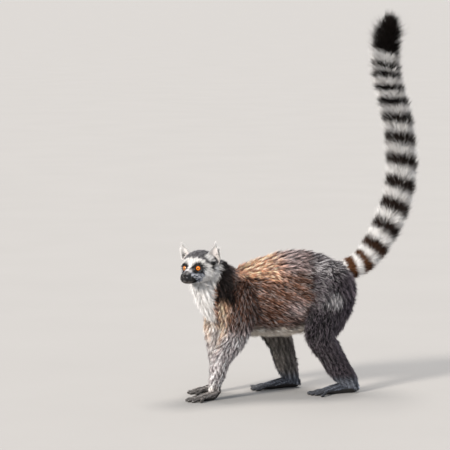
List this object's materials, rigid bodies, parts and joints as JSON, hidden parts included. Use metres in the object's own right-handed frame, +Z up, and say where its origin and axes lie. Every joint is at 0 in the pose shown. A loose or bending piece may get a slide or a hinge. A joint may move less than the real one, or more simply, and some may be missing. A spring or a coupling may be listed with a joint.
{
  "type": "ring-tailed lemur model",
  "caption": "Life-size still model of a furred lemur walking on all fours, head turned, with its banded tail raised high.",
  "frame": {"origin": "on the floor, at the middle of the overall length and width", "axes": "+X from the nose towards the tail, +Y towards the animal's right side, +Z up"},
  "size_m": [0.5498, 0.1798, 0.8157],
  "materials": {
    "rufous_coat": "soft reddish brown fur",
    "grey_coat": "soft brownish grey fur",
    "nape_coat": "soft dark brown fur",
    "white_coat": "soft white fur",
    "cream_coat": "soft cream fur",
    "black_coat": "black fur and skin",
    "leather_skin": "smooth dark grey skin",
    "amber_eye": "glossy amber"
  },
  "bodies": {
    "root": {"belly": "cream_coat", "chest": "rufous_coat", "crown": "nape_coat", "ear_left": "white_coat", "ear_right": "white_coat", "eye_left": "amber_eye", "eye_right": "amber_eye", "eyelids_left": "black_coat", "eyelids_right": "black_coat", "foot_left": "leather_skin", "foot_right": "leather_skin", "forearm_left": "grey_coat", "forearm_right": "grey_coat", "hand_left": "leather_skin", "hand_right": "leather_skin", "head": "white_coat", "loin": "rufous_coat", "muzzle": "black_coat", "nape": "nape_coat", "rump": "grey_coat", "shank_left": "grey_coat", "shank_right": "grey_coat", "tail_dark_01": "black_coat", "tail_dark_02": "black_coat", "tail_dark_03": "black_coat", "tail_dark_04": "black_coat", "tail_dark_05": "black_coat", "tail_dark_06": "black_coat", "tail_dark_07": "black_coat", "tail_dark_08": "black_coat", "tail_dark_09": "black_coat", "tail_dark_10": "black_coat", "tail_dark_11": "black_coat", "tail_dark_12": "black_coat", "tail_tip": "black_coat", "tail_white_01": "white_coat", "tail_white_02": "white_coat", "tail_white_03": "white_coat", "tail_white_04": "white_coat", "tail_white_05": "white_coat", "tail_white_06": "white_coat", "tail_white_07": "white_coat", "tail_white_08": "white_coat", "tail_white_09": "white_coat", "tail_white_10": "white_coat", "tail_white_11": "white_coat", "tail_white_12": "white_coat", "tail_white_13": "white_coat", "thigh_left": "grey_coat", "thigh_right": "grey_coat", "throat": "white_coat", "upper_arm_left": "grey_coat", "upper_arm_right": "grey_coat"}
  },
  "joints": []
}
